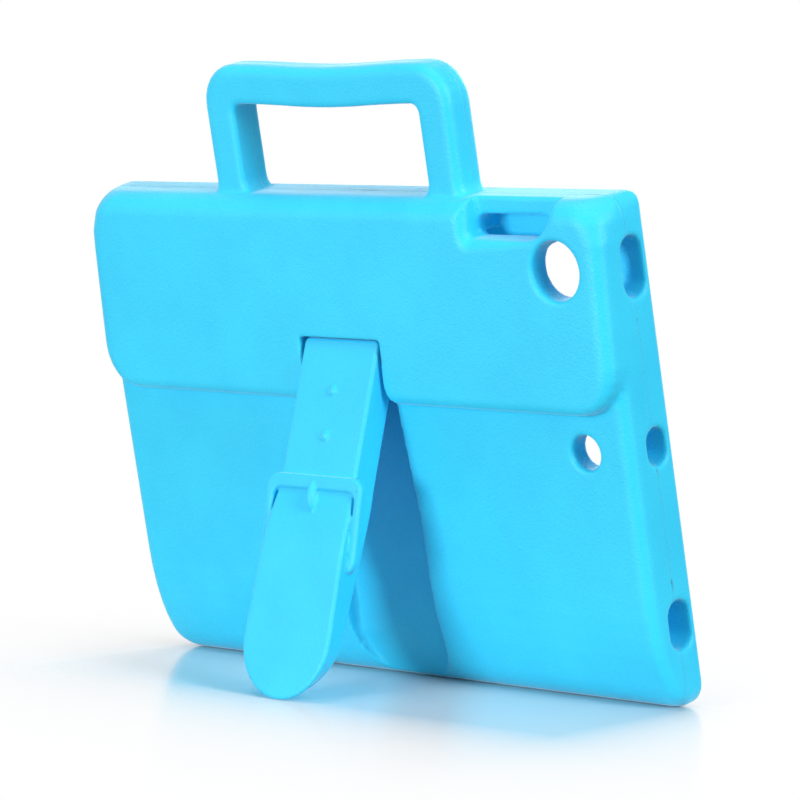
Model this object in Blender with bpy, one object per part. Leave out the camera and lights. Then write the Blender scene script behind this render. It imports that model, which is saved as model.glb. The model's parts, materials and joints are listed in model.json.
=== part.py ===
"""Carry case with a folding strap stand, for a 7.9-inch tablet held in landscape.

The case is one soft foam moulding: a tray that holds the tablet, a thicker flap over its
upper back and a handle on its top edge. A strap shaped like a buckled belt is hinged in the
flap and folds into a channel in the back. The model stands on its bottom edge and the strap.

Units are metres, +Z is up, and the back faces -Y. Shapes are made in the case's own upright
frame, where x runs along the case, z up its back and -y out of its back. One empty then
leans the whole case back onto the strap.
"""
import math

import bmesh
import bpy
from mathutils import Matrix, Vector

MM = 0.001

# Tablet that the case is made for
TABLET_LENGTH = 203.2 * MM
TABLET_HEIGHT = 134.8 * MM
TABLET_THICKNESS = 7.2 * MM
TABLET_CLEARANCE = 0.3 * MM
TABLET_CORNER = 9.0 * MM

# Foam walls round the tablet
SIDE_WALL = 11.4 * MM
TOP_WALL = 11.2 * MM
BOTTOM_WALL = 16.0 * MM
FRONT_LIP = 4.6 * MM
LIP_OVERLAP = 4.5 * MM
LIP_SLOPE = 1.6 * MM
BACK_WALL = 7.4 * MM

# Outer form of the tray
FRONT_EDGE_RADIUS = 1.8 * MM
BACK_EDGE_RADIUS = 4.5 * MM
TOP_CORNER = 4.0 * MM
BOTTOM_CORNER = 7.5 * MM
FOOT_WIDTH = 4.6 * MM
BOTTOM_CURVE_HEIGHT = 38.0 * MM

# Flap over the upper back
FLAP_STEP = 5.5 * MM
FLAP_HEIGHT = 65.8 * MM
FLAP_LOW_CORNER = 14.5 * MM
FLAP_TOP_CORNER = 21.0 * MM
FLAP_EDGE_RADIUS = 5.0 * MM
FLAP_TOP_EDGE_RADIUS = 7.0 * MM
FLAP_LOW_EDGE_RADIUS = 3.0 * MM
FLAP_TAPER = 3.4 * MM

# Handle on the top edge
HANDLE_SPAN = 108.8 * MM
HANDLE_RISE = 41.7 * MM
HANDLE_LEG = 13.6 * MM
HANDLE_BAR = 12.8 * MM
HANDLE_DEPTH = 12.2 * MM
HANDLE_FRONT = 4.0 * MM
HANDLE_CORNER = 13.0 * MM
HANDLE_INNER_CORNER = 3.0 * MM
HANDLE_INNER_EDGE_RADIUS = 1.8 * MM
HANDLE_OUTER_EDGE_RADIUS = 3.4 * MM
HANDLE_DIP = 1.2 * MM
HANDLE_OUTER_FOOT = 4.0 * MM
HANDLE_INNER_FOOT = 5.0 * MM
HANDLE_SINK = 0.8 * MM
HANDLE_ROOT = 3.0 * MM

# Holes through the back
CAMERA_FROM_SIDE = 7.0 * MM
CAMERA_FROM_TOP = 9.8 * MM
CAMERA_RADIUS = 9.3 * MM
CAMERA_WALL = 7.4 * MM
CAMERA_RELIEF_SIZE = (22.0 * MM, 18.6 * MM)
CAMERA_RELIEF_SHIFT = (-4.4 * MM, -2.6 * MM)
CAMERA_RELIEF_CORNER = 4.0 * MM
RIM_RADIUS = 1.3 * MM
REAR_MIC_FROM_SIDE = 7.3 * MM
REAR_MIC_ABOVE_MIDDLE = 0.4 * MM
REAR_MIC_RADIUS = 5.6 * MM

# Finger recess at the volume buttons
RECESS_FROM_SIDE = 43.3 * MM
RECESS_LENGTH = 36.3 * MM
RECESS_HEIGHT = 12.3 * MM
RECESS_ARC = 12.0 * MM
RECESS_RIM_RADIUS = 4.0 * MM
RECESS_FLOOR = 14.2 * MM
RECESS_CORNER = 1.6 * MM
SLOT_LENGTH = 30.0 * MM
SLOT_HEIGHT = 6.8 * MM

# Holes in the camera end: power button, microphone and headphone socket
END_HOLE_DEPTH_CENTRE = 7.1 * MM
POWER_HOLE_SIZE = (9.6 * MM, 19.0 * MM)
POWER_HOLE_FROM_TOP = 22.4 * MM
END_MIC_HOLE_SIZE = (8.6 * MM, 11.8 * MM)
JACK_HOLE_SIZE = (9.8 * MM, 15.6 * MM)
JACK_HOLE_FROM_BOTTOM = 27.5 * MM

# Holes in the other end: charging port and the two speakers
PORT_HOLE_SIZE = (9.0 * MM, 18.0 * MM)
SPEAKER_HOLE_SIZE = (6.0 * MM, 22.0 * MM)
SPEAKER_FROM_PORT = 32.0 * MM

# Strap stand: a belt with its buckle, in one moulding
STRAP_LENGTH = 116.4 * MM
STRAP_WIDTH = 32.8 * MM
STRAP_THICKNESS = 9.8 * MM
STRAP_EDGE_RADIUS = 1.0 * MM
STRAP_TOP_CORNER = 2.0 * MM
STRAP_HEEL_LENGTH = 5.0 * MM
STRAP_TOE_RADIUS = 4.5 * MM
STRAP_TAPER = 6.0 * MM
STRAP_DRAFT = 0.25
TONGUE_START = 48.9 * MM
TONGUE_WIDTH = 33.2 * MM
TONGUE_SPREAD = 0.6
TONGUE_SHOULDER = 1.2 * MM
TONGUE_FOOT_WIDTH = 38.0 * MM
TONGUE_RISE = 2.0 * MM
TONGUE_RAMP = 22.0 * MM
BUCKLE_START = 44.4 * MM
BUCKLE_LENGTH = 30.4 * MM
BUCKLE_WIDTH = 42.0 * MM
BUCKLE_BAR = 3.0 * MM
BUCKLE_TOP_BAR = 4.6 * MM
BUCKLE_CORNER = 4.5 * MM
BUCKLE_RISE = 1.6 * MM
BUCKLE_DEPTH = 1.2 * MM
BUCKLE_EDGE_RADIUS = 0.8 * MM
BUCKLE_TILT = 5.5
PRONG_LENGTH = 11.5 * MM
PRONG_WIDTH = 3.6 * MM
PRONG_RISE = 1.5 * MM
PRONG_TURN = 9.0
STUD_RADIUS = 1.9 * MM
STUD_RISE = 1.0 * MM
RELIEF_SINK = 0.13 * MM
STUD_FROM_TOP = (16.9 * MM, 31.6 * MM)

# Notch, channel and hinge that hold the strap
STAND_ANGLE = 25.6
STOP_GAP = 0.3 * MM
NOTCH_SIDE_GAP = 1.3 * MM
NOTCH_CORNER = 1.2 * MM
NOTCH_MOUTH_RADIUS = 7.0 * MM
CHANNEL_TOP_WIDTH = 34.4 * MM
CHANNEL_WIDTH = 41.0 * MM
CHANNEL_WIDE_AT = 60.4 * MM
CHANNEL_RUN_OUT = 2.5 * MM
CHANNEL_FIRST_STATION = 0.25 * MM
CHANNEL_SLOPE = 3.0 * MM
CHANNEL_FLOOR_RADIUS = 2.0 * MM
CHANNEL_END_CLEARANCE = 1.6 * MM
CHANNEL_DEPTH = 6.6 * MM
HINGE_BELOW_FLAP_FACE = 5.0 * MM
HINGE_ABOVE_FLAP_EDGE = 13.9 * MM
PIN_RADIUS = 1.6 * MM
PIN_CLEARANCE = 0.3 * MM
PIN_SEAT_LENGTH = 6.0 * MM

# Counts of facets
CORNER_STEPS = 6
EDGE_STEPS = 4
CURVE_STEPS = 9
TOE_STEPS = 20
EDGE_SHARE = 0.45
STATION_GAP = 0.12 * MM
LEAN_STEPS = 40
ROUND_SIDES = 32
WELD = 0.01 * MM
CUT_MARGIN = 10.0 * MM
CUT_STEP = 0.4 * MM
RIM_OVERRUN = 0.4
MOUTH_CUTOFF = 20.0

# Colours
FOAM_BLUE = (0.055, 0.64, 0.95, 1.0)
PIN_GREY = (0.55, 0.56, 0.58, 1.0)

# Sizes that follow from the ones above
POCKET_LENGTH = TABLET_LENGTH + 2 * TABLET_CLEARANCE
POCKET_HEIGHT = TABLET_HEIGHT + 2 * TABLET_CLEARANCE
POCKET_DEPTH = TABLET_THICKNESS + TABLET_CLEARANCE
CASE_WIDTH = POCKET_LENGTH + 2 * SIDE_WALL
CASE_HEIGHT = BOTTOM_WALL + POCKET_HEIGHT + TOP_WALL
POCKET_BACK = FRONT_LIP + POCKET_DEPTH
TRAY_DEPTH = POCKET_BACK + BACK_WALL
FLAP_FACE = TRAY_DEPTH + FLAP_STEP
FLAP_BOTTOM = CASE_HEIGHT - FLAP_HEIGHT
POCKET_TOP = BOTTOM_WALL + POCKET_HEIGHT
POCKET_MIDDLE = BOTTOM_WALL + POCKET_HEIGHT / 2
HINGE_HEIGHT = FLAP_BOTTOM + HINGE_ABOVE_FLAP_EDGE
HINGE_DEPTH = FLAP_FACE - HINGE_BELOW_FLAP_FACE


def clear_scene():
    for item in list(bpy.data.objects):
        bpy.data.objects.remove(item, do_unlink=True)
    for mesh in list(bpy.data.meshes):
        bpy.data.meshes.remove(mesh)
    for curve in list(bpy.data.curves):
        bpy.data.curves.remove(curve)


def new_collection(name):
    collection = bpy.data.collections.new(name)
    bpy.context.scene.collection.children.link(collection)
    return collection


def new_material(name, colour, roughness, metallic=0.0):
    material = bpy.data.materials.new(name)
    material.use_nodes = True
    shader = material.node_tree.nodes["Principled BSDF"]
    shader.inputs["Base Color"].default_value = colour
    shader.inputs["Roughness"].default_value = roughness
    shader.inputs["Metallic"].default_value = metallic
    return material


def add_object(name, data, collection, parent):
    item = bpy.data.objects.new(name, data)
    collection.objects.link(item)
    item.parent = parent
    return item


def arc(centre_x, centre_z, radius, start, end, steps):
    """Points of a circular arc between two angles in degrees, both ends included."""
    points = []
    for step in range(steps + 1):
        angle = math.radians(start + (end - start) * step / steps)
        points.append((centre_x + radius * math.cos(angle), centre_z + radius * math.sin(angle)))
    return points


def rounded_rectangle(half_width, low, high, low_radius, high_radius):
    """Anticlockwise outline with one radius for its two low corners and one for its high ones."""
    right = half_width
    points = arc(right - low_radius, low + low_radius, low_radius, -90, 0, CORNER_STEPS)
    points += arc(right - high_radius, high - high_radius, high_radius, 0, 90, CORNER_STEPS)
    points += arc(-right + high_radius, high - high_radius, high_radius, 90, 180, CORNER_STEPS)
    points += arc(-right + low_radius, low + low_radius, low_radius, 180, 270, CORNER_STEPS)
    return points


def face_outwards(shape):
    """Weld a closed mesh and turn every face of it outwards."""
    bmesh.ops.remove_doubles(shape, verts=shape.verts, dist=WELD)
    bmesh.ops.recalc_face_normals(shape, faces=shape.faces)
    if shape.calc_volume(signed=True) < 0:
        bmesh.ops.reverse_faces(shape, faces=shape.faces)


def fill_loops(mesh, loops, closed=False):
    """Skin a stack of loops of one point count; its ends are capped, or joined where closed."""
    skin = bmesh.new()
    rings = []
    for loop in loops:
        rings.append([skin.verts.new(point) for point in loop])
    count = len(rings[0])
    following = rings[1:] + rings[:1] if closed else rings[1:]
    for lower, upper in zip(rings, following):
        for index in range(count):
            after = (index + 1) % count
            skin.faces.new((lower[index], lower[after], upper[after], upper[index]))
    if not closed:
        skin.faces.new(list(reversed(rings[0])))
        skin.faces.new(rings[-1])
    face_outwards(skin)
    skin.to_mesh(mesh)
    skin.free()


def loft(name, sections, collection, parent):
    """Solid through (depth, outline) sections, where depth counts out of the case's back."""
    mesh = bpy.data.meshes.new(name)
    fill_loops(mesh, [[(x, -depth, z) for x, z in outline] for depth, outline in sections])
    return add_object(name, mesh, collection, parent)


def mesh_from_curve(name, curve_object, collection, parent):
    """Welded mesh of a curve object, which is removed."""
    bpy.context.view_layer.update()
    graph = bpy.context.evaluated_depsgraph_get()
    mesh = bpy.data.meshes.new_from_object(curve_object.evaluated_get(graph))
    mesh.name = name
    shape = bmesh.new()
    shape.from_mesh(mesh)
    face_outwards(shape)
    shape.to_mesh(mesh)
    shape.free()
    item = add_object(name, mesh, collection, parent)
    item.location = curve_object.location
    item.rotation_euler = curve_object.rotation_euler
    bpy.data.objects.remove(curve_object, do_unlink=True)
    return item


def flat_plate(name, outline, low, high, collection, parent):
    """Plate with an (x, z) outline between two depths, as a filled and extruded 2D curve."""
    curve = bpy.data.curves.new(name + "_outline", "CURVE")
    curve.dimensions = "2D"
    curve.fill_mode = "BOTH"
    curve.extrude = (high - low) / 2
    spline = curve.splines.new("POLY")
    spline.points.add(len(outline) - 1)
    for point, (x, z) in zip(spline.points, outline):
        point.co = (x, z, 0, 1)
    spline.use_cyclic_u = True
    carrier = bpy.data.objects.new(name + "_outline", curve)
    collection.objects.link(carrier)
    carrier.location = (0, -(low + high) / 2, 0)
    carrier.rotation_euler = (math.radians(90), 0, 0)
    return mesh_from_curve(name, carrier, collection, parent)


def rim_profile(radius):
    """Growth and depth, from a rim's surface, of a rounded rim that ends just outside it."""
    steps = [0.0, 22.5, 45.0, 67.5]
    profile = []
    for angle in steps:
        turn = math.radians(angle)
        profile.append((radius * (1 - math.cos(turn)), -radius * (1 - math.sin(turn))))
    growth, depth = profile[-1]
    turn = math.radians(steps[-1])
    past = RIM_OVERRUN * radius - depth
    profile.append((growth + past * math.tan(turn), RIM_OVERRUN * radius))
    return profile


def end_plug(name, size, depth_centre, height, side, collection, parent):
    """Hole in one end of the case, sized (across the depth, up the case), with a rounded rim."""
    across, tall = size
    inner_end = POCKET_LENGTH / 2 - SIDE_WALL / 2
    stations = [(0.0, inner_end)]
    for growth, depth in rim_profile(RIM_RADIUS):
        stations.append((growth, CASE_WIDTH / 2 + depth))
    stations.append((stations[-1][0], CASE_WIDTH / 2 + CUT_MARGIN))
    loops = []
    for growth, x in stations:
        half = across / 2 + growth
        radius = min(across, tall) / 2 + growth - WELD
        outline = rounded_rectangle(half, -tall / 2 - growth, tall / 2 + growth, radius, radius)
        loops.append([(side * x, -depth_centre - out, height + up) for out, up in outline])
    mesh = bpy.data.meshes.new(name)
    fill_loops(mesh, loops)
    return add_object(name, mesh, collection, parent)


def grown(outline, amounts):
    """Anticlockwise outline pushed out along its own normals, by one amount per point."""
    count = len(outline)
    pushed = []
    for index in range(count):
        before = outline[index - 1]
        after = outline[(index + 1) % count]
        run = (after[0] - before[0], after[1] - before[1])
        length = math.hypot(run[0], run[1])
        x, z = outline[index]
        pushed.append((x + amounts[index] * run[1] / length, z - amounts[index] * run[0] / length))
    return pushed


def rimmed_cut(name, outline, floor, surface, radii, collection, parent):
    """Cutter through a surface of given depth by height, with one rim radius per point."""
    top = [min(z, CASE_HEIGHT - FRONT_EDGE_RADIUS) for x, z in outline]
    loops = [[(x, -floor, z) for x, z in outline]]
    profiles = [rim_profile(radius) for radius in radii]
    for step in range(len(profiles[0])):
        ring = grown(outline, [profile[step][0] for profile in profiles])
        loops.append([(x, -(surface(height) + profile[step][1]), z)
                      for (x, z), height, profile in zip(ring, top, profiles)])
    loops.append([(x, y - CUT_MARGIN, z) for x, y, z in loops[-1]])
    mesh = bpy.data.meshes.new(name)
    fill_loops(mesh, loops)
    return add_object(name, mesh, collection, parent)


def round_bar(name, radius, length, axis, centre, collection, parent, sides=ROUND_SIDES):
    """Cylinder along the x or the y axis of the case's frame."""
    mesh = bpy.data.meshes.new(name)
    shape = bmesh.new()
    bmesh.ops.create_cone(shape, cap_ends=True, cap_tris=False, segments=sides,
                          radius1=radius, radius2=radius, depth=length)
    shape.to_mesh(mesh)
    shape.free()
    item = add_object(name, mesh, collection, parent)
    item.location = centre
    quarter = math.radians(90)
    item.rotation_euler = (quarter, 0, 0) if axis == "y" else (0, quarter, 0)
    return item


def as_cutter(item):
    item.hide_render = True
    item.display_type = "WIRE"
    return item


def boolean(item, other, operation):
    modifier = item.modifiers.new(other.name, "BOOLEAN")
    modifier.operation = operation
    modifier.solver = "EXACT"
    modifier.object = other


def apply_modifiers(item):
    """Bake the modifiers into the mesh, with all cutters still in place."""
    bpy.context.view_layer.update()
    graph = bpy.context.evaluated_depsgraph_get()
    mesh = bpy.data.meshes.new_from_object(item.evaluated_get(graph))
    mesh.name = item.name
    item.modifiers.clear()
    item.data = mesh


def smooth(item, angle=35.0):
    item.data.shade_smooth()
    item.data.set_sharp_from_angle(angle=math.radians(angle))


def drawn_in(distance, radius):
    """How far a rounded edge has drawn in at a distance from the flat face it leads to."""
    if distance >= radius:
        return 0.0
    rest = radius - distance
    return radius - math.sqrt(max(0.0, radius * radius - rest * rest))


def tray_depth_at(height):
    """Depth of the tray's back: an elliptical sweep from the foot, then flat."""
    if height >= BOTTOM_CURVE_HEIGHT:
        return TRAY_DEPTH
    rest = 1 - height / BOTTOM_CURVE_HEIGHT
    return FOOT_WIDTH + (TRAY_DEPTH - FOOT_WIDTH) * math.sqrt(1 - rest * rest)


def flap_depth_at(height):
    """Depth of the flap's face, which thins a little towards the top and is round at both ends."""
    share = (height - FLAP_BOTTOM) / FLAP_HEIGHT
    face = FLAP_FACE - FLAP_TAPER * share
    low = drawn_in(height - FLAP_BOTTOM, FLAP_LOW_EDGE_RADIUS)
    high = drawn_in(CASE_HEIGHT - height, FLAP_TOP_EDGE_RADIUS)
    return face - low - high


def half_width_at(height, depth):
    """Half width of the case: its top corners are tighter in front than at the back."""
    spread = (FLAP_TOP_CORNER - TOP_CORNER) * (depth / FLAP_FACE) ** 2
    low = drawn_in(height, BOTTOM_CORNER)
    high = drawn_in(CASE_HEIGHT - height, TOP_CORNER + spread)
    return CASE_WIDTH / 2 - low - high


def case_section(height, with_flap):
    """Closed outline of the foam at one height, as (x, depth) points."""
    front = max(drawn_in(height, FRONT_EDGE_RADIUS),
                drawn_in(CASE_HEIGHT - height, FRONT_EDGE_RADIUS))
    tray = tray_depth_at(height)
    face = flap_depth_at(height) if with_flap else tray
    above_corner = height - FLAP_BOTTOM > FLAP_LOW_CORNER
    if with_flap and above_corner:
        tray = min(tray, face - FLAP_EDGE_RADIUS)
    room = EDGE_SHARE * (tray - front)
    front_radius = min(FRONT_EDGE_RADIUS, room)
    back_radius = min(BACK_EDGE_RADIUS, room)
    flap_inset = drawn_in(max(0.0, height - FLAP_BOTTOM), FLAP_LOW_CORNER)
    half = half_width_at(height, front)
    right = arc(half - front_radius, front + front_radius, front_radius, -90, 0, EDGE_STEPS)
    for x, depth in arc(-back_radius, tray - back_radius, back_radius, 0, 90, EDGE_STEPS):
        side = half_width_at(height, depth)
        right.append((side - flap_inset if with_flap and flap_inset < -x else side + x, depth))
    radius = min(FLAP_EDGE_RADIUS, face - tray) if with_flap else 0.0
    for x, rise in arc(-1.0, 0, 1.0, 0, 90, EDGE_STEPS):
        depth = face - radius + radius * rise
        side = half_width_at(height, depth) - flap_inset
        right.append((side + FLAP_EDGE_RADIUS * x, depth))
    left = [(-x, depth) for x, depth in reversed(right)]
    return right + left


def round_stations(start, radius, steps):
    """Heights that follow a rounded end inwards from where it starts."""
    heights = []
    for step in range(steps + 1):
        angle = math.radians(90 * step / steps)
        heights.append(start + radius * (1 - math.cos(angle)))
    return heights


def case_heights():
    """Heights of the foam's sections below the flap's edge, and from it to the top."""
    low = round_stations(0.0, FRONT_EDGE_RADIUS, EDGE_STEPS)
    low += round_stations(0.0, BOTTOM_CORNER, CORNER_STEPS)
    low += round_stations(0.0, BOTTOM_CURVE_HEIGHT, CURVE_STEPS)
    low.append(FLAP_BOTTOM)
    high = round_stations(FLAP_BOTTOM, FLAP_LOW_EDGE_RADIUS, EDGE_STEPS)
    high += round_stations(FLAP_BOTTOM, FLAP_LOW_CORNER, CORNER_STEPS)
    for radius in (TOP_CORNER, FLAP_TOP_CORNER, FLAP_TOP_EDGE_RADIUS, FRONT_EDGE_RADIUS):
        high += [CASE_HEIGHT - height for height in round_stations(0.0, radius, EDGE_STEPS)]
    return spaced(low), spaced(high)


def spaced(heights):
    """Sorted heights without near repeats."""
    kept = []
    for height in sorted(heights):
        if not kept or height - kept[-1] > STATION_GAP:
            kept.append(height)
    kept[-1] = max(heights)
    return kept


def make_shell(collection, parent):
    """Tray and flap in one skin, lofted up the case through its level sections."""
    below, above = case_heights()
    loops = []
    for height in below:
        loops.append([(x, -depth, height) for x, depth in case_section(height, False)])
    for height in above:
        loops.append([(x, -depth, height) for x, depth in case_section(height, True)])
    mesh = bpy.data.meshes.new("case_body")
    fill_loops(mesh, loops)
    return add_object("case_body", mesh, collection, parent)


def handle_loop(half, top, corner, foot, base, root):
    """Anticlockwise outline whose legs end in arcs of radius foot, outwards where it is negative."""
    reach = abs(foot)
    centre_x = -half + foot
    left = [(centre_x, base - root)]
    end = -180 if foot > 0 else 0
    left += arc(centre_x, base + reach, reach, -90, end, CORNER_STEPS)
    left += arc(-half + corner, top - corner, corner, 180, 90, CORNER_STEPS)
    bar_half = half - corner
    for step in range(1, CURVE_STEPS + 1):
        x = bar_half * (step / CURVE_STEPS - 1)
        left.append((x, top - HANDLE_DIP * (1 + math.cos(math.pi * x / bar_half)) / 2))
    right = [(-x, z) for x, z in reversed(left[:-1])]
    return list(reversed(left + right))


def rounded_ring(name, outside, inside, front, thickness, radii, collection, parent):
    """Frame between two outlines of one point count, with its outer and inner edges rounded."""
    loops = []
    for outline, radius, sign in ((outside, radii[0], -1), (inside, radii[1], 1)):
        stations = []
        for step in range(EDGE_STEPS + 1):
            turn = math.radians(90 * step / EDGE_STEPS)
            stations.append((radius * (1 - math.sin(turn)), radius * (1 - math.cos(turn))))
        back = [(inset, thickness - depth) for inset, depth in reversed(stations)]
        rings = []
        for inset, depth in stations + back:
            ring = grown(outline, [sign * inset] * len(outline))
            rings.append([(x, -(front + depth), z) for x, z in ring])
        loops += rings if sign < 0 else list(reversed(rings))
    mesh = bpy.data.meshes.new(name)
    fill_loops(mesh, loops, closed=True)
    return add_object(name, mesh, collection, parent)


def make_handle(collection, parent):
    """Ring round the fingers' opening, with its base sunk in the case."""
    half = HANDLE_SPAN / 2
    top = CASE_HEIGHT + HANDLE_RISE
    base = CASE_HEIGHT - HANDLE_SINK
    outside = handle_loop(half, top, HANDLE_CORNER, -HANDLE_OUTER_FOOT, base, HANDLE_ROOT)
    inside = handle_loop(half - HANDLE_LEG, top - HANDLE_BAR, HANDLE_INNER_CORNER,
                         HANDLE_INNER_FOOT, base, 0.0)
    return rounded_ring("handle", outside, inside, HANDLE_FRONT, HANDLE_DEPTH,
                        (HANDLE_OUTER_EDGE_RADIUS, HANDLE_INNER_EDGE_RADIUS), collection, parent)


def channel_end():
    """Height of the channel's lower end, which follows the folded strap's toe."""
    return HINGE_HEIGHT + STRAP_HEEL_LENGTH - STRAP_LENGTH - CHANNEL_END_CLEARANCE


def channel_half_width(height):
    """Half width of the channel, which widens from the notch down and ends in a half round."""
    half = CHANNEL_WIDTH / 2
    centre = channel_end() + half
    if height < centre:
        return math.sqrt(half ** 2 - (centre - height) ** 2)
    share = (height - CHANNEL_WIDE_AT) / (FLAP_BOTTOM - CHANNEL_WIDE_AT)
    share = max(0.0, min(1.0, share))
    return half + (CHANNEL_TOP_WIDTH / 2 - half) * share


def channel_floor(height):
    """Depth of the channel's floor, which slopes down below the tablet to follow the sweep."""
    floor = TRAY_DEPTH - CHANNEL_DEPTH
    share = max(0.0, (BOTTOM_WALL - height) / (BOTTOM_WALL - CHANNEL_RUN_OUT))
    return floor - CHANNEL_SLOPE * share


def make_channel(collection, parent):
    """Cutter for the strap's channel, lofted up the case with its floor's edges rounded."""
    low = channel_end() + CHANNEL_FIRST_STATION
    widest = channel_end() + CHANNEL_WIDTH / 2
    heights = [low + (widest - low) * (step / CORNER_STEPS) ** 2 for step in range(CORNER_STEPS + 1)]
    heights += [BOTTOM_WALL, CHANNEL_WIDE_AT, FLAP_BOTTOM, FLAP_BOTTOM + CUT_MARGIN]
    heights = sorted(height for height in heights if height >= low)
    radius = CHANNEL_FLOOR_RADIUS
    loops = []
    for height in heights:
        floor = channel_floor(height)
        half = channel_half_width(height)
        section = arc(-half + radius, floor + radius, radius, 180, 270, EDGE_STEPS)
        section += arc(half - radius, floor + radius, radius, 270, 360, EDGE_STEPS)
        section += [(half, TRAY_DEPTH + FLAP_STEP / 2), (-half, TRAY_DEPTH + FLAP_STEP / 2)]
        loops.append([(x, -depth, height) for x, depth in section])
    mesh = bpy.data.meshes.new("channel_cut")
    fill_loops(mesh, loops)
    return add_object("channel_cut", mesh, collection, parent)


def notch_top():
    """Height of the wall above the strap, which its heel meets when the stand is fully open."""
    angle = math.radians(STAND_ANGLE)
    heel = STRAP_HEEL_LENGTH * math.cos(angle) + STRAP_THICKNESS / 2 * math.sin(angle)
    return HINGE_HEIGHT + heel + STOP_GAP


def notch_outline():
    """Straight-sided opening in the flap round the strap's top."""
    half = STRAP_WIDTH / 2 + NOTCH_SIDE_GAP
    top = notch_top()
    low = FLAP_BOTTOM - CUT_STEP
    points = arc(half - NOTCH_CORNER, top - NOTCH_CORNER, NOTCH_CORNER, 0, 90, EDGE_STEPS)
    points += arc(-half + NOTCH_CORNER, top - NOTCH_CORNER, NOTCH_CORNER, 90, 180, EDGE_STEPS)
    points += [(-half, low), (half, low)]
    return points


def mouth_outline():
    """Rounded lips where the notch opens through the flap's lower edge."""
    half = STRAP_WIDTH / 2 + NOTCH_SIDE_GAP
    mouth = NOTCH_MOUTH_RADIUS
    centre = FLAP_BOTTOM + mouth - CUT_STEP
    lip = arc(half + mouth, centre, mouth, 180, 270 - MOUTH_CUTOFF, CORNER_STEPS)
    low = FLAP_BOTTOM - 2 * CUT_STEP
    right = [(half, centre + CUT_STEP)] + lip + [(lip[-1][0], low)]
    left = [(-x, z) for x, z in right]
    return right + list(reversed(left))


def round_outline(x, z, radius):
    return arc(x, z, radius, 0, 360, ROUND_SIDES)[:-1]


def camera_place():
    return (POCKET_LENGTH / 2 - CAMERA_FROM_SIDE, POCKET_TOP - CAMERA_FROM_TOP)


def recess_outline():
    """Finger recess: square at the handle's end and swept round at the camera's end."""
    left = CASE_WIDTH / 2 - RECESS_FROM_SIDE - SIDE_WALL
    right = left + RECESS_LENGTH
    low = CASE_HEIGHT - RECESS_HEIGHT
    high = CASE_HEIGHT + CUT_MARGIN
    points = arc(left + RECESS_CORNER, low + RECESS_CORNER, RECESS_CORNER, 180, 270, EDGE_STEPS)
    points += arc(right - RECESS_ARC, low + RECESS_ARC, RECESS_ARC, 270, 360, CORNER_STEPS)
    points += [(right, high), (left, high)]
    return points


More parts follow.
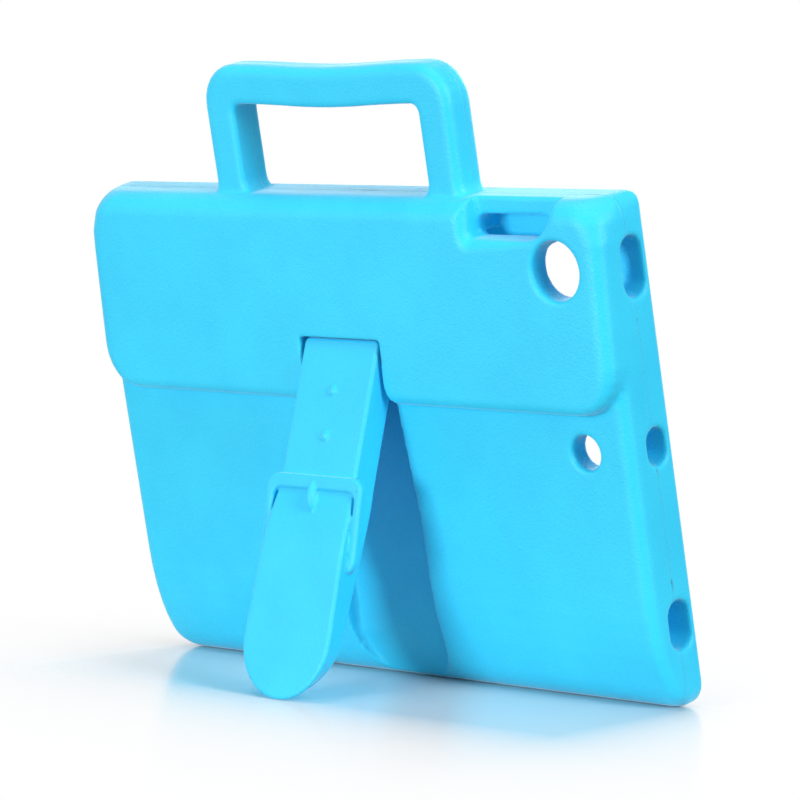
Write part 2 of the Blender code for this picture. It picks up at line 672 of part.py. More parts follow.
def cut_case(body, collection, parent):
    """Take the tablet's pocket, the strap's channel and every hole out of the foam."""
    pocket_half = POCKET_LENGTH / 2
    pocket = loft("pocket_cut", [
        (FRONT_LIP, rounded_rectangle(pocket_half, BOTTOM_WALL, POCKET_TOP,
                                      TABLET_CORNER, TABLET_CORNER)),
        (POCKET_BACK, rounded_rectangle(pocket_half, BOTTOM_WALL, POCKET_TOP,
                                        TABLET_CORNER, TABLET_CORNER)),
    ], collection, parent)
    window_half = pocket_half - LIP_OVERLAP
    window_corner = TABLET_CORNER - LIP_OVERLAP / 2
    window = loft("window_cut", [
        (-CUT_MARGIN, rounded_rectangle(window_half + LIP_SLOPE, BOTTOM_WALL + LIP_OVERLAP - LIP_SLOPE,
                                        POCKET_TOP - LIP_OVERLAP + LIP_SLOPE,
                                        window_corner, window_corner)),
        (0.0, rounded_rectangle(window_half + LIP_SLOPE, BOTTOM_WALL + LIP_OVERLAP - LIP_SLOPE,
                                POCKET_TOP - LIP_OVERLAP + LIP_SLOPE,
                                window_corner, window_corner)),
        (LIP_SLOPE, rounded_rectangle(window_half, BOTTOM_WALL + LIP_OVERLAP,
                                      POCKET_TOP - LIP_OVERLAP, window_corner, window_corner)),
        (FRONT_LIP + POCKET_DEPTH / 2, rounded_rectangle(window_half, BOTTOM_WALL + LIP_OVERLAP,
                                                         POCKET_TOP - LIP_OVERLAP,
                                                         window_corner, window_corner)),
    ], collection, parent)
    channel = make_channel(collection, parent)
    notch = flat_plate("notch_cut", notch_outline(), TRAY_DEPTH - CHANNEL_DEPTH,
                       FLAP_FACE + CUT_MARGIN, collection, parent)
    mouth = flat_plate("mouth_cut", mouth_outline(), TRAY_DEPTH + CUT_STEP / 4,
                       FLAP_FACE + CUT_MARGIN, collection, parent)
    pocket_middle = POCKET_BACK - POCKET_DEPTH / 2
    camera_x, camera_z = camera_place()
    camera = rimmed_cut("camera_cut", round_outline(camera_x, camera_z, CAMERA_RADIUS),
                        pocket_middle, flap_depth_at, [RIM_RADIUS] * ROUND_SIDES, collection, parent)
    relief_x = camera_x + CAMERA_RELIEF_SHIFT[0]
    relief_z = camera_z + CAMERA_RELIEF_SHIFT[1]
    relief_outline = [(relief_x + x, relief_z + z) for x, z in
                      rounded_rectangle(CAMERA_RELIEF_SIZE[0] / 2, -CAMERA_RELIEF_SIZE[1] / 2,
                                        CAMERA_RELIEF_SIZE[1] / 2, CAMERA_RELIEF_CORNER,
                                        CAMERA_RELIEF_CORNER)]
    relief = flat_plate("camera_relief_cut", relief_outline, pocket_middle,
                        flap_depth_at(camera_z) - CAMERA_WALL, collection, parent)
    mic_x = POCKET_LENGTH / 2 - REAR_MIC_FROM_SIDE
    mic_z = POCKET_MIDDLE + REAR_MIC_ABOVE_MIDDLE
    mic = rimmed_cut("rear_mic_cut", round_outline(mic_x, mic_z, REAR_MIC_RADIUS), pocket_middle,
                     tray_depth_at, [RIM_RADIUS] * ROUND_SIDES, collection, parent)
    outline = recess_outline()
    slot_left = outline[0][0]
    radii = []
    for x, z in outline:
        share = min(1.0, (x - slot_left) / (RECESS_LENGTH - RECESS_ARC))
        radii.append(RECESS_RIM_RADIUS + (RIM_RADIUS - RECESS_RIM_RADIUS) * share)
    recess = rimmed_cut("recess_cut", outline, RECESS_FLOOR, flap_depth_at, radii, collection,
                        parent)
    slot_low = CASE_HEIGHT - RECESS_HEIGHT
    slot_middle = slot_left + SLOT_LENGTH / 2
    slot_radius = SLOT_HEIGHT / 2 - WELD
    slot_outline = [(slot_middle + x, z) for x, z in
                    rounded_rectangle(SLOT_LENGTH / 2, slot_low, slot_low + SLOT_HEIGHT,
                                      slot_radius, slot_radius)]
    slot = flat_plate("slot_cut", slot_outline, FRONT_LIP, RECESS_FLOOR + CUT_MARGIN / 2,
                      collection, parent)
    plugs = [
        ("power_cut", POWER_HOLE_SIZE, CASE_HEIGHT - POWER_HOLE_FROM_TOP, 1),
        ("end_mic_cut", END_MIC_HOLE_SIZE, POCKET_MIDDLE + REAR_MIC_ABOVE_MIDDLE, 1),
        ("jack_cut", JACK_HOLE_SIZE, JACK_HOLE_FROM_BOTTOM, 1),
        ("port_cut", PORT_HOLE_SIZE, POCKET_MIDDLE, -1),
        ("low_speaker_cut", SPEAKER_HOLE_SIZE, POCKET_MIDDLE - SPEAKER_FROM_PORT, -1),
        ("high_speaker_cut", SPEAKER_HOLE_SIZE, POCKET_MIDDLE + SPEAKER_FROM_PORT, -1),
    ]
    cutters = [pocket, window, channel, notch, mouth, relief, camera, mic, recess, slot]
    for name, size, height, side in plugs:
        cutters.append(end_plug(name, size, END_HOLE_DEPTH_CENTRE, height, side, collection,
                                parent))
    for cutter in cutters:
        boolean(body, as_cutter(cutter), "DIFFERENCE")


def bore_for_pin(item, radius, length, collection, parent, centre):
    bore = round_bar(item.name + "_pin_bore", radius, length, "x", centre, collection, parent)
    boolean(item, as_cutter(bore), "DIFFERENCE")


def pin_length():
    return STRAP_WIDTH + 2 * NOTCH_SIDE_GAP + 2 * PIN_SEAT_LENGTH


def make_case(parts, cutters, lean, foam):
    body = make_shell(parts, lean)
    handle = make_handle(cutters, lean)
    boolean(body, as_cutter(handle), "UNION")
    cut_case(body, cutters, lean)
    bore_for_pin(body, PIN_RADIUS + PIN_CLEARANCE, pin_length() + 2 * PIN_CLEARANCE,
                 cutters, lean, (0, -HINGE_DEPTH, HINGE_HEIGHT))
    body.data.materials.append(foam)
    return body


def tongue_half_width(down):
    """Half width of the belt's loose end at a distance from the strap's top."""
    span = STRAP_LENGTH - TONGUE_FOOT_WIDTH / 2 - TONGUE_START
    share = min(1.0, (down - TONGUE_START) / span)
    return (TONGUE_WIDTH + (TONGUE_FOOT_WIDTH - TONGUE_WIDTH) * share ** TONGUE_SPREAD) / 2


def strap_outline():
    """Strap seen from its outer face, with z up from the hinge line, anticlockwise."""
    top = STRAP_HEEL_LENGTH
    half = STRAP_WIDTH / 2
    foot = TONGUE_FOOT_WIDTH / 2
    left = arc(-half + STRAP_TOP_CORNER, top - STRAP_TOP_CORNER, STRAP_TOP_CORNER, 90, 180,
               EDGE_STEPS)
    left.append((-half, top - TONGUE_START + TONGUE_SHOULDER))
    span = STRAP_LENGTH - foot - TONGUE_START
    for step in range(CURVE_STEPS):
        down = TONGUE_START + span * step / CURVE_STEPS
        left.append((-tongue_half_width(down), top - down))
    right = [(-x, z) for x, z in reversed(left)]
    end = arc(0, top - STRAP_LENGTH + foot, foot, 180, 360, TOE_STEPS)
    return left + end + right


def toe_radius(z):
    """Rounding of the strap's inner edges, which grows round the foot that stands on the table."""
    foot = TONGUE_FOOT_WIDTH / 2
    centre = STRAP_HEEL_LENGTH - STRAP_LENGTH + foot
    share = max(0.0, min(1.0, (centre - z) / foot))
    return STRAP_EDGE_RADIUS + (STRAP_TOE_RADIUS - STRAP_EDGE_RADIUS) * share


def tongue_rise(height):
    """How far the loose end stands proud of the belt's face, from nothing at its start."""
    ramp_top = STRAP_HEEL_LENGTH - TONGUE_START
    share = max(0.0, min(1.0, (ramp_top - height) / TONGUE_RAMP))
    return TONGUE_RISE * math.sin(share * math.pi / 2)


def inner_taper(height):
    """How much thinner the strap is on its inner side, from nothing at the loose end's start."""
    ramp_top = STRAP_HEEL_LENGTH - TONGUE_START
    share = max(0.0, (ramp_top - height) / (STRAP_LENGTH - TONGUE_START))
    return STRAP_TAPER * share


def make_strap(collection, parent):
    """Belt and its loose end in one skin, rounded along all edges."""
    half = STRAP_THICKNESS / 2
    outline = strap_outline()
    rings = []
    for side in (-1, 1):
        turns = [math.radians(90 * step / EDGE_STEPS) for step in range(EDGE_STEPS + 1)]
        if side < 0:
            turns.reverse()
        for turn in turns:
            radii = [STRAP_EDGE_RADIUS if side > 0 else toe_radius(z) for x, z in outline]
            drafts = [0.0 if side > 0 else STRAP_DRAFT * inner_taper(z) for x, z in outline]
            insets = [-radius * (1 - math.cos(turn)) - draft for radius, draft in zip(radii, drafts)]
            ring = []
            for (x, z), radius in zip(grown(outline, insets), radii):
                proud = tongue_rise(z) if side > 0 else inner_taper(z)
                ring.append((x, -(side * (half - radius * (1 - math.sin(turn))) + proud), z))
            rings.append(ring)
    shape = bmesh.new()
    skins = []
    for ring in rings:
        skins.append([shape.verts.new(point) for point in ring])
    count = len(skins[0])
    for lower, upper in zip(skins, skins[1:]):
        for index in range(count):
            after = (index + 1) % count
            shape.faces.new((lower[index], lower[after], upper[after], upper[index]))
    for ring in (skins[0], skins[-1]):
        for index in range(count // 2):
            across = [ring[index], ring[index + 1], ring[-2 - index], ring[-1 - index]]
            corners = list(dict.fromkeys(across))
            shape.faces.new(corners)
    face_outwards(shape)
    mesh = bpy.data.meshes.new("kickstand")
    shape.to_mesh(mesh)
    shape.free()
    return add_object("kickstand", mesh, collection, parent)


def make_buckle(collection, parent):
    """Buckle frame: proud of the belt at its top bar, and below it sunk under the loose end."""
    face = STRAP_THICKNESS / 2
    top = STRAP_HEEL_LENGTH - BUCKLE_START
    low = top - BUCKLE_LENGTH
    half = BUCKLE_WIDTH / 2
    outside = rounded_rectangle(half, low, top, BUCKLE_CORNER, BUCKLE_CORNER)
    inner_corner = BUCKLE_CORNER - BUCKLE_BAR / 2
    inside = rounded_rectangle(half - BUCKLE_BAR, low + BUCKLE_BAR, top - BUCKLE_TOP_BAR,
                               inner_corner, inner_corner)
    frame = rounded_ring("buckle", outside, inside, face - BUCKLE_DEPTH,
                         BUCKLE_DEPTH + BUCKLE_RISE, (BUCKLE_EDGE_RADIUS, BUCKLE_EDGE_RADIUS),
                         collection, parent)
    turn = math.radians(BUCKLE_TILT)
    pivot = Vector((0, -face, top))
    frame.location = pivot - Matrix.Rotation(turn, 3, "X") @ pivot
    frame.rotation_euler = (turn, 0, 0)
    return frame


def make_prong(collection, parent):
    """Buckle prong that lies over the top bar and down onto the tongue."""
    face = STRAP_THICKNESS / 2
    mesh = bpy.data.meshes.new("prong")
    shape = bmesh.new()
    bmesh.ops.create_uvsphere(shape, u_segments=16, v_segments=10, radius=1.0)
    bmesh.ops.scale(shape, vec=(PRONG_WIDTH / 2, BUCKLE_RISE + PRONG_RISE, PRONG_LENGTH / 2),
                    verts=shape.verts)
    shape.to_mesh(mesh)
    shape.free()
    prong = add_object("prong", mesh, collection, parent)
    middle = STRAP_HEEL_LENGTH - BUCKLE_START - PRONG_LENGTH / 2 - STRAP_EDGE_RADIUS
    prong.location = (0, RELIEF_SINK - face, middle)
    prong.rotation_euler = (0, math.radians(-PRONG_TURN), 0)
    return prong


def make_stud(name, down, collection, parent):
    """Low round stud on the belt's outer face."""
    mesh = bpy.data.meshes.new(name)
    shape = bmesh.new()
    bmesh.ops.create_uvsphere(shape, u_segments=16, v_segments=8, radius=1.0)
    bmesh.ops.scale(shape, vec=(STUD_RADIUS, STUD_RISE, STUD_RADIUS), verts=shape.verts)
    shape.to_mesh(mesh)
    shape.free()
    stud = add_object(name, mesh, collection, parent)
    stud.location = (0, RELIEF_SINK - STRAP_THICKNESS / 2, STRAP_HEEL_LENGTH - down)
    return stud


def make_kickstand(parts, cutters, hinge, foam):
    strap = make_strap(parts, hinge)
    additions = [make_buckle(cutters, hinge), make_prong(cutters, hinge)]
    for number, down in enumerate(STUD_FROM_TOP, start=1):
        additions.append(make_stud(f"stud_{number}", down, cutters, hinge))
    for addition in additions:
        boolean(strap, as_cutter(addition), "UNION")
    bore_for_pin(strap, PIN_RADIUS + PIN_CLEARANCE, STRAP_WIDTH + 2 * CUT_MARGIN,
                 cutters, hinge, (0, 0, 0))
    strap.data.materials.append(foam)
    return strap


def make_pin(parts, lean, metal):
    pin = round_bar("hinge_pin", PIN_RADIUS, pin_length(), "x", (0, -HINGE_DEPTH, HINGE_HEIGHT),
                    parts, lean, sides=ROUND_SIDES)
    pin.data.materials.append(metal)
    return pin


def points_of(solid, parent):
    """Vertices of a finished solid, in the frame of one of its parents."""
    bpy.context.view_layer.update()
    into = parent.matrix_world.inverted() @ solid.matrix_world
    return [into @ vertex.co for vertex in solid.data.vertices]


def lowest(points, angle):
    """Height of the lowest point once everything is turned about the x axis."""
    return min(point.z * math.cos(angle) + point.y * math.sin(angle) for point in points)


def resting_angle(case_points, strap_points):
    """Lean at which the bottom edge and the strap's foot reach the same level."""
    low = 0.0
    high = math.radians(STAND_ANGLE)
    for _ in range(LEAN_STEPS):
        middle = (low + high) / 2
        if lowest(strap_points, middle) > lowest(case_points, middle):
            low = middle
        else:
            high = middle
    return (low + high) / 2


def stand_up(lean, case, kickstand):
    """Lean the case back onto its strap and put the box's bottom centre at the origin."""
    case_points = points_of(case, lean)
    strap_points = points_of(kickstand, lean)
    lean.rotation_euler = (resting_angle(case_points, strap_points), 0, 0)
    bpy.context.view_layer.update()
    corners = [lean.matrix_world @ point for point in case_points + strap_points]
    low = [min(corner[axis] for corner in corners) for axis in range(3)]
    high = [max(corner[axis] for corner in corners) for axis in range(3)]
    lean.location = (-(low[0] + high[0]) / 2, -(low[1] + high[1]) / 2, -low[2])


def build():
    clear_scene()
    parts = new_collection("tablet_case")
    cutters = new_collection("cutters")
    foam = new_material("foam", FOAM_BLUE, 0.62)
    metal = new_material("pin_steel", PIN_GREY, 0.35, 1.0)
    lean = add_object("case_lean", None, parts, None)
    hinge = add_object("hinge_axis", None, parts, lean)
    case = make_case(parts, cutters, lean, foam)
    kickstand = make_kickstand(parts, cutters, hinge, foam)
    pin = make_pin(parts, lean, metal)
    for item in (case, kickstand, pin):
        apply_modifiers(item)
        smooth(item)
    hinge.location = (0, -HINGE_DEPTH, HINGE_HEIGHT)
    hinge.rotation_euler = (math.radians(-STAND_ANGLE), 0, 0)
    stand_up(lean, case, kickstand)


build()
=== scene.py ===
# %% [markdown]
# # A foam carry case that stands on its strap
# The real case is one block of soft closed-cell foam: an open tray, a thicker flap over its
# upper back and a carry handle. A belt-shaped strap of the same foam props it up. The measured
# solids come from the CAD model, and this lesson gives them their looks.

# %% Load the measured model
import json
import math

import bpy
from mathutils import Matrix, Quaternion, Vector


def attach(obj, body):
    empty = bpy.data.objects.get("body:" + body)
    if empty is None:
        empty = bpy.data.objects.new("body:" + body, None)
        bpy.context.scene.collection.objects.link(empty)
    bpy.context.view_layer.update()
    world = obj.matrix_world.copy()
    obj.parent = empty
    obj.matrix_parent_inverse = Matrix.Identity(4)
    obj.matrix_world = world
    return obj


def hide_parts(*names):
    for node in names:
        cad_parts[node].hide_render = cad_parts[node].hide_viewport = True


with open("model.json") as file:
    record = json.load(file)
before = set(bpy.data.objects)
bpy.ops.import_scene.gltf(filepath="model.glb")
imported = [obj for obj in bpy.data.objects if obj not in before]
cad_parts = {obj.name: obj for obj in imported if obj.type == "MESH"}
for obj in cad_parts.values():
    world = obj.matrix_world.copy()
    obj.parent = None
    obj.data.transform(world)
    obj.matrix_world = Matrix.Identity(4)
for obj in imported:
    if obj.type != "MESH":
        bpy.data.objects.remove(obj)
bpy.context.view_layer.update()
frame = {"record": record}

MM = 0.001

# %% [markdown]
# ## The camera
# The photograph looks at the back of the case from the end with the round holes, a little above
# the table, through a long lens. The place comes from fitting a camera to the corners of the
# case. The camera is rolled by under a degree, as the fit asked for.

# %% Place the camera
CAMERA_PLACE = Vector((0.92497, -0.94211, 0.20202))
CAMERA_AIM = Vector((-0.69037, 0.71866, -0.08314))
CAMERA_ROLL = math.radians(-0.74)
CAMERA_LENS = 186.88
SENSOR_WIDTH = 36.0


def turned_along(aim):
    """Turn that makes a camera or a lamp look along a direction, with its top upwards."""
    return aim.to_track_quat("-Z", "Y")


camera_data = bpy.data.cameras.new("photo_camera")
camera_data.lens = CAMERA_LENS
camera_data.sensor_width = SENSOR_WIDTH
camera = bpy.data.objects.new("photo_camera", camera_data)
bpy.context.scene.collection.objects.link(camera)
camera.location = CAMERA_PLACE
roll = Quaternion((0, 0, 1), CAMERA_ROLL)
camera.rotation_euler = (turned_along(CAMERA_AIM) @ roll).to_euler()
bpy.context.scene.camera = camera
print("camera stands", round(CAMERA_PLACE.length, 3), "m from the middle of the table")

# %% [markdown]
# ## The lean of the case
# The case leans back on its strap. The mould knows nothing of that: its parting line and its
# flat faces lie in the plane of the tray. The flat front rim shows that plane, and its mount in
# the record gives the direction it faces. The strap stands open from it by a known angle.

# %% Work out the lean
STRAP_OPEN = math.radians(25.6)

rim = next(mount for mount in frame["record"]["mounts"] if mount["name"] == "front_rim")
rim_normal = Vector(rim["axis"])
rim_place = Vector(rim["pos_m"])
lean = math.atan2(rim_normal.z, rim_normal.y)
strap_lean = lean - STRAP_OPEN
print("the case leans back by", round(math.degrees(lean), 2), "degrees")
print("the strap slopes by", round(math.degrees(strap_lean), 2), "degrees")

# %% [markdown]
# ## Helpers for the materials
# Each helper adds one node and hands back its output, so a material below reads as a short
# recipe. An input takes either a plain value or the output of another node.

# %% Write the helpers
MIX_FIRST_COLOUR, MIX_SECOND_COLOUR, MIX_COLOUR_OUT = 6, 7, 2


def feed(tree, socket, value):
    """Link a socket to another node's output, or set it to a plain value."""
    if isinstance(value, bpy.types.NodeSocket):
        tree.links.new(value, socket)
    else:
        socket.default_value = value


def feed_named(tree, sockets, values):
    """Feed several sockets by their names."""
    for name, value in values.items():
        feed(tree, sockets[name], value)


def noise(tree, place, scale, detail, roughness=0.5):
    """Grey noise between nought and one, with the scale in waves per metre."""
    node = tree.nodes.new("ShaderNodeTexNoise")
    feed_named(tree, node.inputs, {"Vector": place, "Scale": scale, "Detail": detail,
                                   "Roughness": roughness})
    return node.outputs["Fac"]


def math_node(tree, operation, first, second=0.0):
    """Sum on two numbers."""
    node = tree.nodes.new("ShaderNodeMath")
    node.operation = operation
    feed(tree, node.inputs[0], first)
    feed(tree, node.inputs[1], second)
    return node.outputs["Value"]


def vector_node(tree, operation, first, second=(0.0, 0.0, 0.0)):
    """Sum on two vectors, which gives a vector, or a number for a product or a length."""
    node = tree.nodes.new("ShaderNodeVectorMath")
    node.operation = operation
    feed(tree, node.inputs[0], first)
    feed(tree, node.inputs[1], second)
    return node.outputs["Value" if operation in ("DOT_PRODUCT", "LENGTH") else "Vector"]


def map_range(tree, value, between, onto):
    """Carry a value from one range over to another, with soft ends."""
    node = tree.nodes.new("ShaderNodeMapRange")
    node.interpolation_type = "SMOOTHSTEP"
    feed_named(tree, node.inputs, {"Value": value, "From Min": between[0], "From Max": between[1],
                                   "To Min": onto[0], "To Max": onto[1]})
    return node.outputs["Result"]


def mixed(tree, factor, first, second):
    """Colour that goes from the first to the second with the factor."""
    node = tree.nodes.new("ShaderNodeMix")
    node.data_type = "RGBA"
    feed(tree, node.inputs["Factor"], factor)
    feed(tree, node.inputs[MIX_FIRST_COLOUR], first)
    feed(tree, node.inputs[MIX_SECOND_COLOUR], second)
    return node.outputs[MIX_COLOUR_OUT]


def two_tones(tree, factor, tones, between=(0.0, 1.0)):
    """Colour ramp from one tone to another over a range of the factor."""
    node = tree.nodes.new("ShaderNodeValToRGB")
    for stop, tone, position in zip(node.color_ramp.elements, tones, between):
        stop.color, stop.position = tone, position
    feed(tree, node.inputs["Fac"], factor)
    return node.outputs["Color"]


def add_bump(tree, shader, height, strength, depth):
    """Raise the surface of a shader by a height, without moving its mesh."""
    node = tree.nodes.new("ShaderNodeBump")
    feed_named(tree, node.inputs, {"Height": height, "Strength": strength, "Distance": depth})
    feed(tree, shader.inputs["Normal"], node.outputs["Normal"])


def new_group(name, outputs):
    """Node group with a place going in and the named numbers coming out."""
    group = bpy.data.node_groups.new(name, "ShaderNodeTree")
    group.interface.new_socket(name="Vector", in_out="INPUT", socket_type="NodeSocketVector")
    for output in outputs:
        group.interface.new_socket(name=output, in_out="OUTPUT", socket_type="NodeSocketFloat")
    place = group.nodes.new("NodeGroupInput").outputs["Vector"]
    return group, place, group.nodes.new("NodeGroupOutput").inputs


def use_group(tree, group, place):
    """Outputs of a node group at a place."""
    node = tree.nodes.new("ShaderNodeGroup")
    node.node_tree = group
    feed(tree, node.inputs["Vector"], place)
    return node.outputs


def new_material(name):
    """Material with its node tree and its shader."""
    material = bpy.data.materials.new(name)
    material.use_nodes = True
    return material, material.node_tree, material.node_tree.nodes["Principled BSDF"]


def place_on(tree):
    """Place of each point in metres, measured on the object itself."""
    return tree.nodes.new("ShaderNodeTexCoord").outputs["Object"]


print("the helpers are ready")

# %% [markdown]
# ## The foam's skin
# Moulded foam is matt, and its skin copies the blasted surface of the mould: fine pebbles with
# a slow waviness underneath. Here and there a bubble has left a pinhole. One node group makes
# these three effects from a place in space, so the case and the strap share one skin.

# %% Build the shared skin
SKIN_DETAIL = 2.0
FINE_SCALE = 3200.0
FINE_ROUGHNESS = 0.6
FINE_RISE = 0.3
PEBBLE_SCALE = 1350.0
SWELL_SCALE = 45.0
SWELL_RISE = 0.3
SWELL_TONE, PEBBLE_TONE = 0.65, 0.35
PINHOLE_SCALE = 95.0
PINHOLE_SIZE = 0.035
PINHOLE_CUT = 0.8


def make_foam_skin():
    """Group that gives the skin's height, its tone and where its pinholes are."""
    group, place, out = new_group("foam_skin", ("Height", "Tone", "Pinholes"))
    fine = noise(group, place, FINE_SCALE, SKIN_DETAIL, FINE_ROUGHNESS)
    pebble = noise(group, place, PEBBLE_SCALE, SKIN_DETAIL)
    swell = noise(group, place, SWELL_SCALE, SKIN_DETAIL)

    cells = group.nodes.new("ShaderNodeTexVoronoi")
    feed_named(group, cells.inputs, {"Vector": place, "Scale": PINHOLE_SCALE})
    near_point = map_range(group, cells.outputs["Distance"], (0.0, PINHOLE_SIZE), (1.0, 0.0))
    chance = group.nodes.new("ShaderNodeSeparateColor")
    feed(group, chance.inputs["Color"], cells.outputs["Color"])
    chosen = math_node(group, "GREATER_THAN", chance.outputs["Red"], PINHOLE_CUT)
    pinholes = math_node(group, "MULTIPLY", near_point, chosen)

    height = math_node(group, "ADD", math_node(group, "MULTIPLY", fine, FINE_RISE), pebble)
    waves = math_node(group, "MULTIPLY", swell, SWELL_RISE)
    height = math_node(group, "ADD", height, waves)
    slow = math_node(group, "MULTIPLY", swell, SWELL_TONE)
    quick = math_node(group, "MULTIPLY", pebble, PEBBLE_TONE)
    feed_named(group, out, {"Height": math_node(group, "SUBTRACT", height, pinholes),
                            "Tone": math_node(group, "ADD", slow, quick),
                            "Pinholes": pinholes})
    return group


foam_skin = make_foam_skin()
print("the foam skin group has", len(foam_skin.nodes), "nodes")

# %% [markdown]
# ## The parting line
# The mould closes in two halves, and the foam keeps a thin line where they meet. It runs right
# round the tray's edge and over the handle, at one depth from the front rim. The group measures
# each point's depth along the rim's normal, so the line stays put from every side. In a few
# spots the foam has torn where the mould opened, and these show darker.

# %% Build the parting line
PARTING_DEPTH = 9.0 * MM
PARTING_WIDTH = 0.45 * MM
WANDER_SCALE = 30.0
WANDER_DETAIL = 2.0
WANDER_MIDDLE = 0.5
WANDER_REACH = 0.4 * MM
TORN_SCALE = 55.0
TORN_DETAIL = 3.0
TORN_ROUGHNESS = 0.7
TORN_SHARE = 0.62
TORN_EDGE = 0.04


def make_parting_line():
    """Group that gives the line where the mould closes, and its torn spots."""
    group, place, out = new_group("parting_line", ("Line", "Torn"))
    along = vector_node(group, "DOT_PRODUCT", place, rim_normal)
    wander = noise(group, place, WANDER_SCALE, WANDER_DETAIL)
    wander = math_node(group, "SUBTRACT", wander, WANDER_MIDDLE)
    wander = math_node(group, "MULTIPLY", wander, WANDER_REACH)
    depth = math_node(group, "SUBTRACT", rim_normal.dot(rim_place) - PARTING_DEPTH, along)
    depth = math_node(group, "ABSOLUTE", math_node(group, "ADD", depth, wander))
    line = map_range(group, depth, (0.0, PARTING_WIDTH), (1.0, 0.0))
    patches = noise(group, place, TORN_SCALE, TORN_DETAIL, TORN_ROUGHNESS)
    patches = map_range(group, patches, (TORN_SHARE, TORN_SHARE + TORN_EDGE), (0.0, 1.0))
    feed_named(group, out, {"Line": line, "Torn": math_node(group, "MULTIPLY", line, patches)})
    return group


parting_line = make_parting_line()
print("the parting line lies", PARTING_DEPTH / MM, "mm behind the front rim")

# %% [markdown]
# ## The foam
# The case and the strap are moulded from one foam. The strap's tones are painted a shade darker,
# as painted shade that keeps its upturned face from showing brighter than the case, and only the
# case has a parting line. The sheen stands for the light that the skin's tiny pores scatter.

# %% Make the foam material
CASE_TONES = ((0.011, 0.600, 0.930, 1.0), (0.016, 0.650, 0.960, 1.0))
# painted shade: the strap's tones sit below the case's to darken its face against the light it
# catches
STRAP_SHADED_TONES = ((0.010, 0.550, 0.900, 1.0), (0.014, 0.595, 0.930, 1.0))
TONE_RANGE = (0.36, 0.62)
# painted shade: a dark blue that stands for the shade inside the pinholes
PINHOLE_SHADE = (0.010, 0.170, 0.330, 1.0)
TORN_DARK = (0.006, 0.330, 0.520, 1.0)
FOAM_SHADER = {"Specular IOR Level": 0.6, "Sheen Weight": 0.40, "Sheen Roughness": 0.35}
FOAM_HEIGHTS = (0.7, 1.2)
FOAM_ROUGHNESS = (0.58, 0.36)
FOAM_BUMP = 0.9
BUMP_DEPTH = 0.15 * MM
PARTING_RISE = 1.1
TORN_RISE = 2.5


def make_foam(name, tones, with_line):
    """Foam in two close tones, with or without the parting line."""
    material, tree, shader = new_material(name)
    feed_named(tree, shader.inputs, FOAM_SHADER)
    place = place_on(tree)
    skin = use_group(tree, foam_skin, place)
    colour = two_tones(tree, skin["Tone"], tones, TONE_RANGE)
    # paint shade into the pinholes
    colour = mixed(tree, skin["Pinholes"], colour, PINHOLE_SHADE)
    height = skin["Height"]
    if with_line:
        line = use_group(tree, parting_line, place)
        colour = mixed(tree, line["Torn"], colour, TORN_DARK)
        for output, rise in (("Line", PARTING_RISE), ("Torn", TORN_RISE)):
            raised = math_node(tree, "MULTIPLY", line[output], rise)
            height = math_node(tree, "ADD", height, raised)
    feed(tree, shader.inputs["Base Color"], colour)
    rough = map_range(tree, skin["Height"], FOAM_HEIGHTS, FOAM_ROUGHNESS)
    feed(tree, shader.inputs["Roughness"], rough)
    add_bump(tree, shader, height, FOAM_BUMP, BUMP_DEPTH)
    return material


case_foam = make_foam("case_foam", CASE_TONES, True)
# the strap's foam carries painted shade in its darker tones
strap_foam_shaded = make_foam("strap_foam_shaded", STRAP_SHADED_TONES, False)
print("foam materials", case_foam.name, strap_foam_shaded.name)

# %% [markdown]
# ## The hinge pin
# The strap turns on a hidden rod. A plain drawn rod shows fine lines along its length, so the
# noise is stretched along the rod's own direction.

# %% Make the drawn steel
STEEL_WAVES = (40.0, 3000.0, 3000.0)
STEEL_SCALE = 1.0
STEEL_DETAIL = 3.0
STEEL_TONES = ((0.38, 0.39, 0.41, 1.0), (0.66, 0.67, 0.69, 1.0))
STEEL_LINES = (0.3, 0.7)
STEEL_ROUGHNESS = (0.28, 0.42)
STEEL_BUMP = 0.2
STEEL_DEPTH = 0.02 * MM


def make_drawn_steel():
    """Steel with fine lines along the rod."""
    material, tree, shader = new_material("drawn_steel")
    feed(tree, shader.inputs["Metallic"], 1.0)
    stretch = tree.nodes.new("ShaderNodeMapping")
    feed_named(tree, stretch.inputs, {"Vector": place_on(tree), "Scale": STEEL_WAVES})
    lines = noise(tree, stretch.outputs["Vector"], STEEL_SCALE, STEEL_DETAIL)
    feed(tree, shader.inputs["Base Color"], two_tones(tree, lines, STEEL_TONES))
    rough = map_range(tree, lines, STEEL_LINES, STEEL_ROUGHNESS)
    feed(tree, shader.inputs["Roughness"], rough)
    add_bump(tree, shader, lines, STEEL_BUMP, STEEL_DEPTH)
    return material


drawn_steel = make_drawn_steel()
print("the rod's material is", drawn_steel.name)

# %% [markdown]
# ## Soften the moulding
# A foam part leaves its mould with no sharp edge anywhere: the skin runs over each corner in a
# small curve, and the legs of the handle melt into the top. The measured solid has these
# edges in facets, so each foam piece is built over it as a modeller would: a fine even mesh is
# drawn over a copy, its edges are relaxed, and then its flat areas are thinned out. The copy is
# set upright first, because the even mesh is smoothest where it lies along the axes.

# %% Draw the foam pieces
CASE_GRAIN, CASE_ROUNDS, CASE_KEEP = 0.62 * MM, 4, 0.25
STRAP_GRAIN, STRAP_ROUNDS, STRAP_KEEP = 0.32 * MM, 3, 0.30
MERGE_DISTANCE = 0.01 * MM
RELAX_FACTOR = 0.5


def add_modifier(piece, kind, **settings):
    """Add one modifier with its settings and apply it at once."""
    modifier = piece.modifiers.new(kind.lower(), kind)
    for name, value in settings.items():
        setattr(modifier, name, value)
    bpy.ops.object.modifier_apply(modifier=modifier.name)


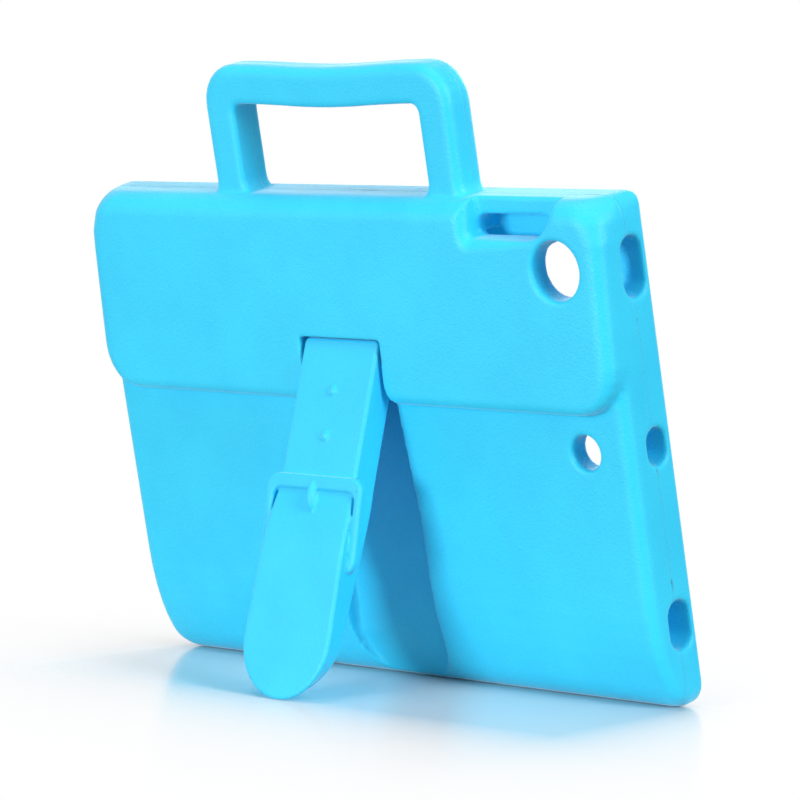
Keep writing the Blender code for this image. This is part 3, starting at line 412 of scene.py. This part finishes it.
def moulded(node_name, name, tilt, grain, rounds, keep):
    """Build a foam piece over a copy of a CAD node, set upright, with its edges relaxed."""
    bpy.ops.object.select_all(action="DESELECT")
    node = bpy.data.objects[node_name]
    node.select_set(True)
    bpy.context.view_layer.objects.active = node
    bpy.ops.object.duplicate(linked=False)
    piece = bpy.context.object
    piece.name = name
    bpy.ops.object.mode_set(mode="EDIT")
    bpy.ops.mesh.select_all(action="SELECT")
    bpy.ops.mesh.remove_doubles(threshold=MERGE_DISTANCE)
    bpy.ops.object.mode_set(mode="OBJECT")
    piece.data.transform(Matrix.Rotation(-tilt, 4, "X"))
    add_modifier(piece, "REMESH", mode="VOXEL", voxel_size=grain, use_smooth_shade=True)
    drawn = len(piece.data.polygons)
    add_modifier(piece, "SMOOTH", factor=RELAX_FACTOR, iterations=rounds)
    add_modifier(piece, "DECIMATE", ratio=keep)
    piece.data.transform(Matrix.Rotation(tilt, 4, "X"))
    bpy.ops.object.shade_smooth()
    print(name, "drawn with", drawn, "faces, keeps", len(piece.data.polygons))
    return piece


case_skin = moulded("case_body", "case_skin", lean, CASE_GRAIN, CASE_ROUNDS, CASE_KEEP)
strap_skin = moulded("kickstand", "strap_skin", strap_lean, STRAP_GRAIN, STRAP_ROUNDS, STRAP_KEEP)

# %% Join them to the bodies
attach(case_skin, "case")
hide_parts("case_body")
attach(strap_skin, "kickstand")
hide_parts("kickstand")

# %% Give each piece its material
FINISHES = {"case_skin": case_foam, "strap_skin": strap_foam_shaded, "hinge_pin": drawn_steel,
            "case_body": case_foam, "kickstand": strap_foam_shaded}

for name, finish in FINISHES.items():
    piece = bpy.data.objects[name]
    piece.data.materials.clear()
    piece.data.materials.append(finish)
    print(name, "wears", finish.name)

# %% [markdown]
# ## The table
# The photograph's table is a white glossy sheet. It mirrors the case, and the mirror image
# fades out within a hand's width, as it does on a sheet with a slightly rough polish. Further
# out the sheet is as white as the backdrop, so no horizon shows.

# %% Lay the table
FLOOR_SIZE = 14.0
POLISHED_HALF = (112.0 * MM, 32.0 * MM, 0.0)
FADE_LENGTH = 32.0 * MM
THIRD_GONE = math.log(1.5)
ROOM_LEVEL = 0.23
FULL_WHITE = 1.0
TABLE_SEEN = (0.85, 0.85, 0.85, 1.0)
TABLE_BOUNCE = (0.62, 0.62, 0.62, 1.0)
TABLE_SHADER = {"Roughness": 0.17, "Specular IOR Level": 1.0}


def seen_directly(tree):
    """One for the eye and for what it sees in mirrors and through glass, else nought."""
    path = tree.nodes.new("ShaderNodeLightPath").outputs
    seen = math_node(tree, "MAXIMUM", path["Is Camera Ray"], path["Is Glossy Ray"])
    return math_node(tree, "MAXIMUM", seen, path["Is Transmission Ray"])


def white_for_the_eye(tree):
    """Strength that looks white, and lights the case only at the level of the room."""
    return map_range(tree, seen_directly(tree), (0.0, 1.0), (ROOM_LEVEL, FULL_WHITE))


def fade_from_case(tree):
    """One under the case, and less and less with the distance from it."""
    sides = vector_node(tree, "ABSOLUTE", place_on(tree))
    beyond = vector_node(tree, "SUBTRACT", sides, POLISHED_HALF)
    outside = vector_node(tree, "MAXIMUM", beyond)
    reach = vector_node(tree, "LENGTH", outside)
    fall = math_node(tree, "MULTIPLY", reach, -1.0 / FADE_LENGTH)
    return math_node(tree, "EXPONENT", fall)


def make_table_white():
    """Glossy white near the case that fades into plain white further out."""
    material, tree, gloss = new_material("table_white")
    feed_named(tree, gloss.inputs, TABLE_SHADER)
    tint = mixed(tree, seen_directly(tree), TABLE_BOUNCE, TABLE_SEEN)
    feed(tree, gloss.inputs["Base Color"], tint)
    plain_white = tree.nodes.new("ShaderNodeEmission")
    feed(tree, plain_white.inputs["Strength"], white_for_the_eye(tree))
    blend = tree.nodes.new("ShaderNodeMixShader")
    feed(tree, blend.inputs["Fac"], fade_from_case(tree))
    feed(tree, blend.inputs[1], plain_white.outputs["Emission"])
    feed(tree, blend.inputs[2], gloss.outputs["BSDF"])
    feed(tree, tree.nodes["Material Output"].inputs["Surface"], blend.outputs["Shader"])
    return material


bpy.ops.object.select_all(action="DESELECT")
bpy.ops.mesh.primitive_plane_add(size=FLOOR_SIZE, location=(0, 0, 0))
table = bpy.context.object
table.name = "table"
table.data.materials.append(make_table_white())
print("the mirror image loses a third every", round(FADE_LENGTH * THIRD_GONE / MM), "mm")

# %% [markdown]
# ## The light
# A low panel stands straight in front of the case's back. It lights the back evenly, and the
# strap keeps its light off the channel behind, which stays dark as in the photograph. A tall
# panel lights the narrow side, and a panel overhead brings out the rounded top edges. One more
# lights the open front, for the other views. The room looks white and lights the case faintly.

# %% Light the studio
WHITE = (1.0, 1.0, 1.0, 1.0)
PANEL_TARGET = Vector((0.0, 0.0, 0.08))
PANELS = {
    "back_panel": {"place": (-0.22, -1.58, 0.20), "size": (0.5, 0.4), "power": 17.6},
    "side_panel": {"place": (1.70, -0.25, 0.75), "size": (0.4, 1.2), "power": 25.0},
    "top_panel": {"place": (0.00, -0.25, 1.60), "size": (1.0, 1.0), "power": 7.5},
    "front_panel": {"place": (-0.45, 1.60, 0.80), "size": (1.2, 0.8), "power": 17.0},
}

world = bpy.data.worlds.new("white_studio")
world.use_nodes = True
bpy.context.scene.world = world
backdrop = world.node_tree.nodes["Background"]
feed_named(world.node_tree, backdrop.inputs,
           {"Color": WHITE, "Strength": white_for_the_eye(world.node_tree)})

for name, panel in PANELS.items():
    panel_data = bpy.data.lights.new(name, "AREA")
    panel_data.shape = "RECTANGLE"
    panel_data.size, panel_data.size_y = panel["size"]
    panel_data.energy = panel["power"]
    lamp = bpy.data.objects.new(name, panel_data)
    bpy.context.scene.collection.objects.link(lamp)
    lamp.location = panel["place"]
    lamp.rotation_euler = turned_along(PANEL_TARGET - lamp.location).to_euler()
    print(name, "is", round((lamp.location - PANEL_TARGET).length, 2), "m away")

bpy.context.scene.view_settings.view_transform = "Standard"
